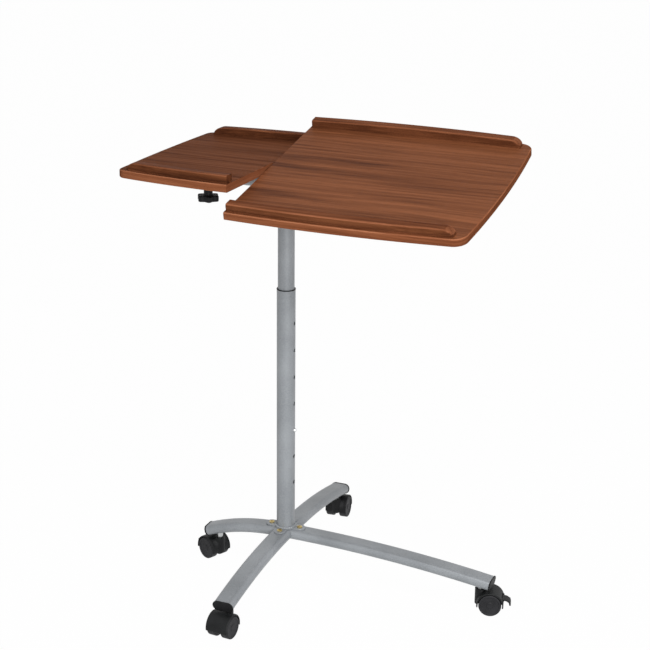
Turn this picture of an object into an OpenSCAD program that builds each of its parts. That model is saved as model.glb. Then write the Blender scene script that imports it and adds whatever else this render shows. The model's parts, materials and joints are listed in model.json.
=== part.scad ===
/* [Height column] */
// Outer diameter of the lower column tube
lower_tube_d = 36; // [32:0.5:44]
// Wall of the lower column tube
lower_tube_wall = 1.2; // [1:0.1:2]
// Height of the lower tube's open lip above the floor
column_lip_z = 596.5; // [580:0.5:660]
// Wall of the upper column tube
upper_tube_wall = 1.5; // [1:0.1:2.5]
// Height of the lowest index hole above the floor
first_hole_z = 199.9; // [190:0.1:215]
// Distance from one index hole to the next
hole_pitch = 55; // [50:1:58]
// Number of index holes
hole_count = 7; // [6:1:7]
// Index hole that the button stands in, counted from the lowest
used_hole = 3; // [2:1:5]
// Diameter of an index hole
hole_d = 8.2; // [7:0.1:10]
// Height of the cross tube's axis above the button
button_to_cross = 497.2; // [480:0.1:540]
// Length of the upper tube below the button
tail_length = 36; // [30:1:50]
// Wall of the plastic bush in the lip of the lower tube
bush_wall = 0.75; // [0.6:0.05:1.2]
// Length of the bush inside the lower tube
bush_length = 30; // [15:1:45]
// Thickness of the bush's flange on the lip
bush_flange_t = 1.4; // [1:0.1:3]
// Overhang of the bush's flange past the lower tube
bush_flange_over = 0.3; // [0:0.1:1]
// Height of the sliding skirt of the guide plug
plug_skirt_h = 12; // [6:1:20]
// Length of the guide plug inside the upper tube
plug_spigot_h = 9; // [5:1:12]
// Wall of the guide plug inside the upper tube
plug_wall = 2.5; // [1.5:0.1:4]
// Height of the button's tip above the lower tube's wall
button_proud = 4; // [2:0.1:5]
// Diameter of the flange that holds the button in
button_flange_d = 13; // [11:0.5:15]
// Thickness of the flange that holds the button in
button_flange_t = 1.2; // [0.8:0.1:2]
// Width of the leaf spring behind the button
spring_w = 8; // [5:0.5:9]
// Thickness of the leaf spring behind the button
spring_t = 0.8; // [0.5:0.1:1.2]

/* [Legs] */
// Width of the flat-oval leg tube
leg_w = 40; // [34:1:46]
// Height of the flat-oval leg tube
leg_h = 20; // [16:1:24]
// Wall of the leg tube
leg_wall = 1.5; // [1:0.1:2.5]
// Height of the leg tubes' middle line at the column
leg_hub_z = 91; // [86:0.5:98]
// Height of the leg tubes' middle line at their ends
leg_end_z = 62; // [59.5:0.5:66]
// Reach of the left leg from the column's axis
left_reach = 170; // [160:1:220]
// Reach of the right leg from the column's axis
right_reach = 432; // [380:1:460]
// Reach of the front leg from the column's axis
front_reach = 290; // [250:1:330]
// Reach of the rear leg from the column's axis
rear_reach = 292; // [250:1:330]
// Thickness of an end cap's face
cap_t = 3; // [2:0.5:5]
// Length of an end cap inside the leg tube
cap_spigot = 8; // [5:1:9]

/* [Hub plate] */
// Thickness of the hub plate
hub_t = 2.5; // [2:0.5:5]
// Width of one lobe of the hub plate
lobe_w = 24; // [20:1:30]
// Distance from the column's axis to a hub screw
hub_screw_r = 30; // [29:0.5:34]
// Diameter of the hub screws' shank
hub_screw_d = 5; // [4:0.5:6]
// Diameter of the hub screws' head
hub_screw_head_d = 10.5; // [9:0.5:12]
// Height of the hub screws' head
hub_screw_head_h = 3; // [2:0.5:4]
// Width of the nuts inside the legs, from corner to corner
hub_nut_d = 9; // [8.5:0.5:11]
// Thickness of the nuts inside the legs
hub_nut_h = 4; // [3:0.5:5]
// Height of the weld ring at the column's foot
weld_h = 3; // [2:0.5:5]

/* [Casters] */
// Diameter of a caster wheel
wheel_d = 44; // [40:1:45]
// Width of one caster wheel
wheel_w = 16; // [12:0.5:18]
// Gap between the two wheels of a caster
wheel_gap = 13; // [12.5:0.5:16]
// Distance from the swivel axis to the wheels' axle
caster_trail = 20; // [18:0.5:22]
// Distance from a leg's end to the swivel axis
caster_inset = 24; // [21:0.5:30]
// Diameter of the wheels' axle
axle_d = 6; // [5:0.5:8]
// Diameter of the swivel stem
stem_d = 8; // [7:0.5:8]
// Diameter of the collar on the swivel stem
stem_collar_d = 12; // [10:0.5:13]
// Wall of the hood over the wheels
hood_wall = 2.4; // [2:0.1:2.8]
// Gap between a wheel's tread and the hood
hood_gap = 1.6; // [1.4:0.1:2]
// Diameter of the hood's boss round the stem
hood_boss_d = 20; // [18:0.5:24]
// Height of the hood's top above the floor
hood_top_z = 48.5; // [48:0.5:49.5]
// Width of the brake lever
lever_w = 20; // [16:0.5:24]
// Thickness of the brake lever
lever_t = 3; // [2:0.1:3]
// Gap between the brake lever's barrel and the treads
lever_gap = 0.8; // [0.6:0.1:1.2]
// Direction that the left caster trails in
left_heading = 155; // [0:5:355]
// Direction that the right caster trails in
right_heading = 15; // [0:5:355]
// Direction that the front caster trails in
front_heading = 265; // [0:5:355]
// Direction that the rear caster trails in
rear_heading = 95; // [0:5:355]

/* [Cross tube and brackets] */
// Outer diameter of the cross tube
cross_tube_d = 32; // [30:0.5:36]
// Wall of the cross tube
cross_tube_wall = 1.5; // [1:0.1:2.5]
// Reach of the cross tube to the left of the column
cross_left = 236; // [215:1:250]
// Reach of the cross tube to the right of the column
cross_right = 300; // [260:1:340]
// Thickness of the face of a cross tube cap
tube_cap_t = 2.5; // [1.5:0.5:4]
// Thickness of the bracket plates and of their sleeves
bracket_t = 2; // [1.5:0.1:3]
// Length of a bracket's sleeve along the cross tube
bracket_len = 60; // [52:1:64]
// Depth of a bracket's plate from front to rear
bracket_depth = 76; // [64:1:90]
// Middle of the shelf's bracket, to the left of the column
shelf_bracket_x = 162; // [150:1:170]
// Middle of the main top's left bracket, to the right of the column
near_bracket_x = 72; // [60:1:80]
// Middle of the main top's right bracket, to the right of the column
far_bracket_x = 200; // [180:1:220]
// Diameter of the threaded boss under a clamping bracket
boss_d = 18; // [15:0.5:22]
// Height of the threaded boss under the sleeve
boss_h = 5; // [3:0.5:8]
// Diameter of the clamping stud
stud_d = 8; // [6:0.5:9]
// Diameter of a clamping knob's head
knob_d = 44; // [36:0.5:50]
// Height of a clamping knob's head
knob_h = 11.5; // [9:0.5:15]
// Diameter of a clamping knob's neck
knob_neck_d = 17; // [14:0.5:18]
// Length of a clamping knob's neck
knob_neck_h = 20; // [10:0.5:24]
// Number of grips round a clamping knob
knob_grips = 6; // [5:1:8]
// Radius of one grip of a clamping knob
knob_grip_r = 7; // [5:0.2:7.8]
// Diameter of the wood screws' shank
wood_screw_d = 3.8; // [3:0.1:4.5]
// Diameter of the wood screws' head
wood_screw_head_d = 8; // [6:0.5:9]
// Height of the wood screws' head
wood_screw_head_h = 2.2; // [1.5:0.1:3]
// Length of the bracket screws in the panel
bracket_screw_len = 11; // [8:0.5:12]
// Length of the ledge screws in the ledge
ledge_screw_len = 10; // [6:0.5:12]

/* [Tops] */
// Thickness of both panels
panel_t = 15; // [12:0.5:20]
// Slope of the main top at rest, rear edge raised
main_tilt = 10.7; // [0:0.1:18]
// Distance from the column's axis to the main top's left edge, leftwards
main_left = 24; // [18:0.5:30]
// Distance that the main top's middle lies in front of its brackets' middle
main_forward = 7.3; // [0:0.1:12]
// Length of the main top from its left edge to its bowed right edge
main_length = 450.5; // [430:0.5:480]
// Depth of the main top from front to rear at its widest
main_depth = 436.5; // [420:0.5:460]
// Distance from the main top's left edge to its widest place
main_peak = 196; // [180:1:240]
// Drop of the front and rear edges from the widest place to the left edge
main_edge_drop = 6.5; // [3:0.1:8]
// Bow of the main top's right edge
main_side_bow = 10.2; // [8:0.1:24]
// Radius of the main top's right corners
main_corner_r = 26; // [15:1:50]
// Gap between the two panels
seam_gap = 2.5; // [2:0.5:8]
// Slope of the side shelf at rest, rear edge raised
shelf_tilt = -1.1; // [-3:0.1:3]
// Distance that the shelf's middle lies behind its bracket's middle
shelf_back = 9; // [0:0.5:12]
// Length of the side shelf from the gap to its bowed left edge
shelf_length = 234; // [225:1:260]
// Depth of the side shelf at the gap
shelf_depth = 424; // [400:1:440]
// Drop of the shelf's front and rear edges towards its left edge
shelf_drop = 21.8; // [12:0.1:26]
// Bow of the shelf's left edge
shelf_side_bow = 4.7; // [3:0.1:14]
// Radius of the shelf's left corners
shelf_corner_r = 19; // [12:1:30]
// Width of the ledges
ledge_w = 22.5; // [18:0.5:26]
// Height of the ledges above the panels
ledge_h = 15.5; // [12:0.5:20]
// Distance from a panel's edge to its ledge
ledge_inset = 4; // [2:0.5:8]
// Depth of the panel's shallow seat that a ledge stands in
ledge_seat = 0.3; // [0.1:0.1:1]
// Rounding of a ledge's outer upper edge
ledge_outer_r = 4; // [3:0.5:8]
// Rounding of a ledge's inner upper edge
ledge_inner_r = 4; // [3:0.5:8]
// Rounding of a ledge's lowered end
ledge_end_r = 14; // [8:0.5:14]
// Distance from the main top's left edge to its ledges
main_ledge_start = 4; // [2:0.5:10]
// Distance from the main top's left edge to its ledges' rounded ends
main_ledge_end = 422; // [380:1:425]
// Distance from the gap's edge of the shelf to its ledges
shelf_ledge_start = 1.5; // [1:0.5:10]
// Distance from the gap's edge of the shelf to its ledges' rounded ends
shelf_ledge_end = 212; // [195:1:214]

/* [Fits] */
// Running gap between a moving piece and what guides it
run_gap = 0.05; // [0.02:0.01:0.1]
// Open gap between pieces that pass each other
pass_gap = 0.3; // [0.2:0.05:0.5]
// Sideways shift that puts the footprint's middle over the origin
column_x = -103.5; // [-115:0.5:-80]

/* [Hidden] */
$fn = 48;

METAL = [0.60, 0.62, 0.63];
BRIGHT = [0.80, 0.80, 0.78];
BRASS = [0.72, 0.60, 0.34];
BLACK = [0.13, 0.13, 0.14];
DARK = [0.20, 0.20, 0.21];
WOOD = [0.48, 0.28, 0.19];
WOOD_DARK = [0.42, 0.23, 0.14];

// Enough length to pass right through any piece
THROUGH = 400;

// Radii of the column, from the outside inwards
lower_r = lower_tube_d / 2;
lower_bore_r = lower_r - lower_tube_wall;
upper_r = lower_bore_r - bush_wall - run_gap;
upper_bore_r = upper_r - upper_tube_wall;

// Heights along the column
leg_top_z = leg_hub_z + leg_h / 2;
hub_top_z = leg_top_z + hub_t;
button_z = first_hole_z + (used_hole - 1) * hole_pitch;
upper_end_z = button_z - tail_length;
cross_z = button_z + button_to_cross;

// The button, its flange against the bore, and the back of its spring
button_r = hole_d / 2 - 2 * run_gap;
button_tip = lower_r + button_proud;
button_dome_r = button_r * 1.25;
flange_out = sqrt(pow(upper_bore_r, 2) - pow(button_flange_d / 2, 2)) - pass_gap;
flange_in = flange_out - button_flange_t;
spring_back = sqrt(pow(upper_bore_r, 2) - pow(spring_w / 2, 2));

// Each leg: direction, reach, and the direction that its caster trails in
LEFT = [180, left_reach, left_heading];
RIGHT = [0, right_reach, right_heading];
FRONT = [270, front_reach, front_heading];
REAR = [90, rear_reach, rear_heading];
LEGS = [LEFT, RIGHT, FRONT, REAR];

// A leg is one round arc, with its summit at the edge of the joint
leg_level = leg_w / 2;
leg_drop = leg_hub_z - leg_end_z;

function arc_radius(half_chord, sag) = (half_chord * half_chord + sag * sag) / (2 * sag);
function leg_r(leg) = arc_radius(leg[1] - leg_level, leg_drop);
function leg_turn(leg) = asin((leg[1] - leg_level) / leg_r(leg));
function hub_turn(leg) = -asin(leg_level / leg_r(leg));
function cap_turn(leg) = cap_t / leg_r(leg) * 180 / PI;
function spigot_turn(leg) = cap_spigot / leg_r(leg) * 180 / PI;
function stem_reach(leg) = leg[1] - caster_inset;
function leg_z(leg, x) =
    leg_hub_z - leg_r(leg) + sqrt(pow(leg_r(leg), 2) - pow(x - leg_level, 2));

// The casters
wheel_r = wheel_d / 2;
axle_r = axle_d / 2;
stem_r = stem_d / 2;
web_gap = 0.5;
web_half = wheel_gap / 2 - web_gap;
hood_in_r = wheel_r + hood_gap;
hood_out_r = hood_in_r + hood_wall;
caster_half_w = wheel_gap / 2 + wheel_w;
stem_low_z = 17;
axle_boss_wall = 3;
axle_end_cover = 4;

// How far round the wheels the hood reaches, and where the lever's pivot stands
nose_turn = 190;
tail_turn = -10;
lever_turn = 20;
slot_below = 18;
slot_above = 12;

// The brake lever's pins, the ears that hold them, and the middle line of its plate
lever_pin_r = 1.3;
lever_barrel_r = 2.4;
lever_pin_len = 3;
ear_wall = 1.8;
ear_end = 0.5;
lever_path = [[0, 0], [7.5, -1.2], [13.5, -5], [14.8, -11.5]];

// A wheel's rounded edge, its sunk outer disc, and the hollow behind that
wheel_edge_r = 2;
wheel_rim = 5;
disc_sunk = 1;
disc_t = 4;
wheel_hub_wall = 3.5;
axle_cover_t = 2;
lever_pivot_r = wheel_r + lever_gap + lever_barrel_r;
lever_x = caster_trail + lever_pivot_r * cos(lever_turn);
lever_z = wheel_r + lever_pivot_r * sin(lever_turn);

// The tops, measured outwards from each panel's straight inner edge
cross_r = cross_tube_d / 2;
panel_z = cross_z + cross_r + bracket_t;
sleeve_r = cross_r + bracket_t;
boss_z = cross_z - sleeve_r - boss_h;
knob_top_z = boss_z - pass_gap;
knob_head_z = knob_top_z - knob_neck_h;
stud_top_z = cross_z - cross_r - pass_gap;
shelf_edge = main_left + seam_gap;
main_ledge_at = [40, 150, 260, 370];
shelf_ledge_at = [32, 108, 184];
ledge_trim = 3;
screw_r = wood_screw_d / 2;
pilot_r = screw_r + run_gap;
bracket_hole_inset = 8.5;
bracket_hole_x = bracket_len / 2 - bracket_hole_inset;
bracket_hole_y = bracket_depth / 2 - bracket_hole_inset;

// A panel: length, half depth, widest place, front arc radius, side arc radius, corner radius
MAIN = [main_length, main_depth / 2, main_peak, arc_radius(main_peak, main_edge_drop),
    arc_radius(main_depth / 2, main_side_bow), main_corner_r];
SHELF = [shelf_length, shelf_depth / 2, 0, arc_radius(shelf_length, shelf_drop),
    arc_radius(shelf_depth / 2, shelf_side_bow), shelf_corner_r];

function edge_c(p) = [p[2], p[1] - p[3]];
function side_c(p) = [p[0] - p[4], 0];
function meet(a, ra, b, rb) =
    let (d = norm(b - a), along = (d * d + ra * ra - rb * rb) / (2 * d),
        off = sqrt(ra * ra - along * along), u = (b - a) / d)
    a + along * u + off * [u[1], -u[0]];
function corner_c(p) = meet(edge_c(p), p[3] - p[5], side_c(p), p[4] - p[5]);
function heading_of(v) = atan2(v[1], v[0]);
function arc(c, r, from, to, steps) =
    [for (i = [0:steps]) c + r * [cos(from + (to - from) * i / steps),
        sin(from + (to - from) * i / steps)]];
function rear_half(p) =
    let (k = corner_c(p), a = heading_of(k - edge_c(p)), b = heading_of(k - side_c(p)))
    concat(arc(edge_c(p), p[3], 90 + asin(p[2] / p[3]), a, 14), arc(k, p[5], a, b, 8),
        arc(side_c(p), p[4], b, 0, 8));
function flipped(points) = [for (i = [len(points) - 1:-1:0]) [points[i][0], -points[i][1]]];

// Outline of a bent strip of even thickness round its middle line, with mitred bends
function left_of(v) = [-v[1], v[0]] / norm(v);
function mitre(path, i) =
    let (last = len(path) - 1, a = left_of(path[max(i, 1)] - path[max(i, 1) - 1]),
        b = left_of(path[min(i + 1, last)] - path[min(i, last - 1)]), m = (a + b) / norm(a + b))
    m / (m * a);
function strip(path, t) = let (last = len(path) - 1)
    concat([for (i = [0:last]) path[i] + mitre(path, i) * t / 2],
        [for (i = [last:-1:0]) path[i] - mitre(path, i) * t / 2]);

// Middle line of a ledge, at a distance from the panel's inner edge
function ledge_y(p, u) =
    let (r = p[3] - ledge_inset - ledge_w / 2)
    edge_c(p)[1] + sqrt(r * r - pow(u - p[2], 2));

module at_column() {
    translate([column_x, 0, 0]) children();
}

module sloping(angle) {
    at_column() translate([0, 0, cross_z]) rotate([angle, 0, 0])
        translate([0, 0, -cross_z]) children();
}

module at_main() {
    sloping(main_tilt) children();
}

module at_shelf() {
    sloping(shelf_tilt) translate([-shelf_bracket_x, 0, 0]) children();
}

module at_leg(leg) {
    at_column() rotate([0, 0, leg[0]]) children();
}

module at_caster(leg) {
    at_leg(leg) translate([stem_reach(leg), 0, 0]) rotate([0, 0, leg[2] - leg[0]]) children();
}

module tube(r, wall, h) {
    difference() {
        cylinder(r = r, h = h);
        translate([0, 0, -1]) cylinder(r = r - wall, h = h + 2);
    }
}

module along_x() {
    rotate([0, 90, 0]) children();
}

module across(r, half) {
    rotate([90, 0, 0]) translate([0, 0, -half]) cylinder(r = r, h = 2 * half);
}

// The lower column tube, with its index holes and the weld ring at its foot

module index_holes() {
    for (i = [0:hole_count - 1])
        translate([0, 0, first_hole_z + i * hole_pitch]) along_x()
            cylinder(d = hole_d, h = THROUGH);
}

module lower_tube() {
    color(METAL) at_column() difference() {
        union() {
            translate([0, 0, hub_top_z]) cylinder(r = lower_r, h = column_lip_z - hub_top_z);
            translate([0, 0, hub_top_z]) cylinder(r1 = lower_r + weld_h, r2 = lower_r, h = weld_h);
        }
        translate([0, 0, hub_top_z - 1]) cylinder(r = lower_bore_r, h = column_lip_z);
        index_holes();
    }
}

module column_bush() {
    color(BLACK) at_column() difference() {
        union() {
            translate([0, 0, column_lip_z - bush_length]) cylinder(r = lower_bore_r, h = bush_length);
            translate([0, 0, column_lip_z])
                cylinder(r = lower_r + bush_flange_over, h = bush_flange_t);
        }
        translate([0, 0, column_lip_z - bush_length - 1])
            cylinder(r = upper_r + run_gap, h = bush_length + bush_flange_t + 2);
    }
}

// The hub plate, its screws and the nuts in the legs

module hub_places() {
    for (leg = LEGS)
        at_leg(leg) translate([hub_screw_r, 0, 0]) children();
}

module hub_plate() {
    color(METAL) difference() {
        translate([0, 0, leg_top_z]) {
            for (leg = LEGS) {
                at_leg(leg) translate([0, -lobe_w / 2, 0]) cube([hub_screw_r, lobe_w, hub_t]);
                at_leg(leg) translate([hub_screw_r, 0, 0]) cylinder(d = lobe_w, h = hub_t);
            }
            at_column() cylinder(r = lower_r + weld_h, h = hub_t);
        }
        hub_places() cylinder(d = hub_screw_d + 2 * pass_gap, h = THROUGH);
    }
}

module cross_recess(size) {
    for (turn = [0, 90])
        rotate([0, 0, turn]) cube([size, size / 4, size / 2], center = true);
}

module hub_screws() {
    color(BRASS) hub_places() difference() {
        union() {
            translate([0, 0, hub_top_z]) intersection() {
                cylinder(d = hub_screw_head_d, h = hub_screw_head_h);
                translate([0, 0, hub_screw_head_h - hub_screw_head_d])
                    sphere(r = hub_screw_head_d);
            }
            translate([0, 0, leg_top_z - leg_wall - hub_nut_h - 1])
                cylinder(d = hub_screw_d, h = hub_t + leg_wall + hub_nut_h + 1.5);
        }
        translate([0, 0, hub_top_z + hub_screw_head_h]) cross_recess(hub_screw_head_d / 2);
    }
}

module hub_nuts() {
    color(BRIGHT) hub_places()
        translate([0, 0, leg_top_z - leg_wall - hub_nut_h - pass_gap]) difference() {
            cylinder(d = hub_nut_d, h = hub_nut_h, $fn = 6);
            translate([0, 0, -1]) cylinder(d = hub_screw_d + 2 * run_gap, h = hub_nut_h + 2);
        }
}

// The legs: a flat-oval tube that falls along one round arc, mitred at the column

module oval(inset) {
    width = leg_w - 2 * inset;
    height = leg_h - 2 * inset;
    square([height, width - height], center = true);
    for (side = [-1, 1])
        translate([0, side * (width - height) / 2]) circle(d = height);
}

// Sweeps what it is given down the leg's arc, from one turn to another
module leg_sweep(leg, from, to) {
    translate([leg_level, 0, leg_hub_z - leg_r(leg)]) rotate([90, 0, 0])
        rotate([0, 0, 90 - to]) rotate_extrude(angle = to - from, $fn = 360)
            translate([leg_r(leg), 0]) children();
}

module leg_tube(leg) {
    end = leg_turn(leg) - cap_turn(leg);
    at_leg(leg) difference() {
        intersection() {
            leg_sweep(leg, hub_turn(leg), end) difference() {
                oval(0);
                oval(leg_wall);
            }
            linear_extrude(THROUGH)
                polygon([[0, 0], [2 * THROUGH, 2 * THROUGH], [2 * THROUGH, -2 * THROUGH]]);
        }
        translate([hub_screw_r, 0, leg_hub_z])
            cylinder(d = hub_screw_d + 2 * pass_gap, h = THROUGH);
        translate([stem_reach(leg), 0, 0]) cylinder(r = stem_r, h = leg_z(leg, stem_reach(leg)));
    }
}

module leg_left() {
    color(METAL) leg_tube(LEFT);
}

module leg_right() {
    color(METAL) leg_tube(RIGHT);
}

module leg_front() {
    color(METAL) leg_tube(FRONT);
}

module leg_rear() {
    color(METAL) leg_tube(REAR);
}

module leg_cap(leg) {
    end = leg_turn(leg) - cap_turn(leg);
    at_leg(leg) {
        leg_sweep(leg, end, leg_turn(leg)) oval(0);
        leg_sweep(leg, end - spigot_turn(leg), end + cap_turn(leg) / 2) oval(leg_wall);
    }
}

module leg_cap_left() {
    color(BLACK) leg_cap(LEFT);
}

module leg_cap_right() {
    color(BLACK) leg_cap(RIGHT);
}

module leg_cap_front() {
    color(BLACK) leg_cap(FRONT);
}

module leg_cap_rear() {
    color(BLACK) leg_cap(REAR);
}

// A swivel stem stands in the leg's lower wall, with a collar below it and a nut above it

module caster_stem(leg) {
    middle = leg_z(leg, stem_reach(leg));
    at_leg(leg) {
        translate([stem_reach(leg), 0, stem_low_z])
            cylinder(r = stem_r, h = middle - stem_low_z);
        difference() {
            translate([stem_reach(leg), 0, hood_top_z + pass_gap])
                cylinder(d = stem_collar_d, h = middle - hood_top_z - pass_gap);
            leg_sweep(leg, 0, leg_turn(leg)) oval(0);
        }
        intersection() {
            translate([stem_reach(leg), 0, 0])
                cylinder(d = stem_collar_d, h = middle - 1);
            leg_sweep(leg, 0, leg_turn(leg)) oval(leg_wall);
        }
    }
}

module caster_stems() {
    color(BRIGHT)
        for (leg = LEGS)
            caster_stem(leg);
}

// The upper column: tube, guide plug, button, spring and the cross tube on top

module upper_tube() {
    color(METAL) at_column() difference() {
        translate([0, 0, upper_end_z]) tube(upper_r, upper_tube_wall, cross_z - upper_end_z);
        translate([-THROUGH, 0, cross_z]) along_x() cylinder(r = cross_r, h = 2 * THROUGH);
        translate([0, 0, button_z]) along_x() cylinder(d = hole_d, h = THROUGH);
    }
}

module guide_plug() {
    color(BLACK) at_column() difference() {
        union() {
            translate([0, 0, upper_end_z - plug_skirt_h])
                cylinder(r = lower_bore_r - run_gap, h = plug_skirt_h);
            translate([0, 0, upper_end_z]) cylinder(r = upper_bore_r, h = plug_spigot_h);
        }
        translate([0, 0, upper_end_z - plug_skirt_h - 1])
            cylinder(r = upper_bore_r - plug_wall, h = plug_skirt_h + plug_spigot_h + 2);
    }
}

module snap_button() {
    color(BRIGHT) at_column() translate([0, 0, button_z]) along_x() {
        intersection() {
            translate([0, 0, flange_out]) cylinder(r = button_r, h = button_tip - flange_out);
            translate([0, 0, button_tip - button_dome_r]) sphere(r = button_dome_r);
        }
        translate([0, 0, flange_out]) cylinder(r = button_r, h = button_tip - flange_out - button_r);
        translate([0, 0, flange_in]) cylinder(d = button_flange_d, h = button_flange_t);
    }
}

module button_spring() {
    bend_r = (flange_in + spring_back) / 2;
    middle = (flange_in - spring_back) / 2;
    color(BRIGHT) at_column() translate([middle, spring_w / 2, button_z]) rotate([90, 0, 0])
        linear_extrude(spring_w) {
            difference() {
                translate([0, -button_flange_d / 2]) circle(r = bend_r);
                translate([0, -button_flange_d / 2]) circle(r = bend_r - spring_t);
                translate([-THROUGH / 2, -button_flange_d / 2]) square([THROUGH, THROUGH]);
            }
            for (side = [-bend_r, bend_r - spring_t])
                translate([side, -button_flange_d / 2])
                    square([spring_t, button_flange_d]);
        }
}

module cross_tube() {
    color(METAL) at_column() translate([-cross_left, 0, cross_z]) along_x()
        tube(cross_r, cross_tube_wall, cross_left + cross_right);
}

module tube_cap() {
    cylinder(r = cross_r, h = tube_cap_t);
    translate([0, 0, -plug_spigot_h]) cylinder(r = cross_r - cross_tube_wall, h = plug_spigot_h);
}

module cross_tube_caps() {
    color(BLACK) at_column() {
        translate([cross_right, 0, cross_z]) along_x() tube_cap();
        translate([-cross_left, 0, cross_z]) rotate([0, -90, 0]) tube_cap();
    }
}

// The panels: a straight inner edge, bowed front and rear edges and a bowed outer edge,
// and from each ledge's inner side outwards a shallow seat, so what lies between the
// ledges is one flat face

module panel(p) {
    points = rear_half(p);
    difference() {
        linear_extrude(panel_t) polygon(concat(points, flipped(points)));
        ledge_seats(p);
    }
}

module ledge_seats(p) {
    inner = p[3] - ledge_inset - ledge_w - pass_gap;
    for (side = [0, 1])
        mirror([0, side, 0]) translate([0, 0, panel_t - ledge_seat]) difference() {
            translate([-THROUGH, 0, 0]) cube([3 * THROUGH, THROUGH, THROUGH]);
            translate([edge_c(p)[0], edge_c(p)[1], -1])
                cylinder(r = inner, h = THROUGH + 2, $fn = 360);
        }
}

module place_each(at) {
    for (u = at)
        translate([u, 0, 0]) children();
}

module ledge_screw_places(p, at) {
    for (u = at)
        for (side = [-1, 1])
            translate([u, side * ledge_y(p, u), 0]) children();
}

module bracket_screw_places() {
    for (x = [-bracket_hole_x, bracket_hole_x])
        for (y = [-bracket_hole_y, bracket_hole_y])
            translate([x, y, 0]) children();
}

module ledge_profile() {
    half = ledge_w / 2;
    square([half, ledge_h - ledge_inner_r]);
    translate([half, 0]) square([half, ledge_h - ledge_outer_r]);
    translate([ledge_inner_r, 0]) square([ledge_w - ledge_inner_r - ledge_outer_r, ledge_h]);
    translate([ledge_inner_r, ledge_h - ledge_inner_r]) circle(r = ledge_inner_r);
    translate([ledge_w - ledge_outer_r, ledge_h - ledge_outer_r]) circle(r = ledge_outer_r);
}

// A ledge follows its panel's curved edge
module ledge_arc(p, from, to) {
    outer = p[3] - ledge_inset;
    a = acos((to - p[2]) / outer);
    b = acos((from - p[2]) / outer);
    translate([edge_c(p)[0], edge_c(p)[1], 0]) rotate([0, 0, a])
        rotate_extrude(angle = b - a, $fn = 360)
            translate([outer - ledge_w, 0]) ledge_profile();
}

// Seen from the side, a ledge is square at the gap and rounded down at its outer end
module ledge_side(from, to) {
    depth = 2 * THROUGH;
    translate([0, depth / 2, 0]) rotate([90, 0, 0]) linear_extrude(depth) {
        translate([from, -1]) square([to - from - ledge_end_r, ledge_h + 2]);
        translate([from, -1]) square([to - from, ledge_h - ledge_end_r + 1]);
        translate([to - ledge_end_r, ledge_h - ledge_end_r]) circle(r = ledge_end_r);
    }
}

module ledge(p, from, to, at) {
    difference() {
        intersection() {
            ledge_arc(p, from - 1, to + ledge_trim);
            ledge_side(from, to);
        }
        for (u = at)
            translate([u, ledge_y(p, u), -1])
                cylinder(r = pilot_r, h = ledge_screw_len + ledge_seat + 1.5);
    }
}

module wood_screw(length) {
    translate([0, 0, -wood_screw_head_h]) intersection() {
        cylinder(d = wood_screw_head_d, h = wood_screw_head_h);
        translate([0, 0, wood_screw_head_d]) sphere(r = wood_screw_head_d);
    }
    translate([0, 0, -0.5]) cylinder(r = screw_r, h = length + 0.5);
}

// A bracket: plate under the panel and a sleeve that turns on the cross tube

module bracket(clamping) {
    difference() {
        union() {
            translate([-bracket_len / 2, -bracket_depth / 2, panel_z - bracket_t])
                cube([bracket_len, bracket_depth, bracket_t]);
            translate([-bracket_len / 2, 0, cross_z]) along_x()
                cylinder(r = sleeve_r, h = bracket_len);
            if (clamping)
                translate([0, 0, boss_z]) cylinder(d = boss_d, h = cross_z - boss_z);
        }
        translate([-bracket_len, 0, cross_z]) along_x()
            cylinder(r = cross_r + run_gap, h = 2 * bracket_len);
        if (clamping)
            translate([0, 0, boss_z - 1])
                cylinder(d = stud_d + 2 * run_gap, h = cross_z - boss_z);
        translate([0, 0, panel_z - bracket_t - 1]) bracket_screw_places()
            cylinder(r = screw_r + pass_gap, h = bracket_t + 2);
    }
}

module bracket_screws() {
    translate([0, 0, panel_z - bracket_t]) bracket_screw_places()
        wood_screw(bracket_t + bracket_screw_len);
}

module knob() {
    difference() {
        union() {
            translate([0, 0, knob_head_z - knob_h]) {
                cylinder(r = (knob_d - knob_grip_r) / 2, h = knob_h);
                for (i = [0:knob_grips - 1])
                    rotate([0, 0, i * 360 / knob_grips])
                        translate([knob_d / 2 - knob_grip_r, 0, 0])
                            cylinder(r = knob_grip_r, h = knob_h);
            }
            translate([0, 0, knob_head_z]) cylinder(d = knob_neck_d, h = knob_neck_h);
        }
        translate([0, 0, knob_head_z]) cylinder(d = stud_d, h = knob_neck_h + 1);
    }
}

module knob_stud() {
    translate([0, 0, knob_head_z]) cylinder(d = stud_d, h = stud_top_z - knob_head_z);
}

// The main top, tilted about the cross tube

module at_main_panel() {
    at_main() translate([-main_left, -main_forward, panel_z]) children();
}

module main_top() {
    color(WOOD) at_main_panel() difference() {
        panel(MAIN);
        translate([0, 0, -1]) ledge_screw_places(MAIN, main_ledge_at)
            cylinder(r = pilot_r, h = panel_t + 2);
        place_each([main_left + near_bracket_x, main_left + far_bracket_x])
            translate([0, main_forward, -1]) bracket_screw_places()
                cylinder(r = pilot_r, h = bracket_screw_len + 1.5);
    }
}

module main_ledge() {
    translate([0, 0, panel_t - ledge_seat])
        ledge(MAIN, main_ledge_start, main_ledge_end, main_ledge_at);
}

module main_front_ledge() {
    color(WOOD_DARK) at_main_panel() mirror([0, 1, 0]) main_ledge();
}

module main_rear_ledge() {
    color(WOOD_DARK) at_main_panel() main_ledge();
}

module main_ledge_screws() {
    color(BRIGHT) at_main_panel()
        ledge_screw_places(MAIN, main_ledge_at) wood_screw(panel_t + ledge_screw_len);
}

module near_bracket() {
    color(METAL) at_main() translate([near_bracket_x, 0, 0]) bracket(false);
}

module tilt_bracket() {
    color(METAL) at_main() translate([far_bracket_x, 0, 0]) bracket(true);
}

module main_bracket_screws() {
    color(BRIGHT) at_main() place_each([near_bracket_x, far_bracket_x]) bracket_screws();
}

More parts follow.
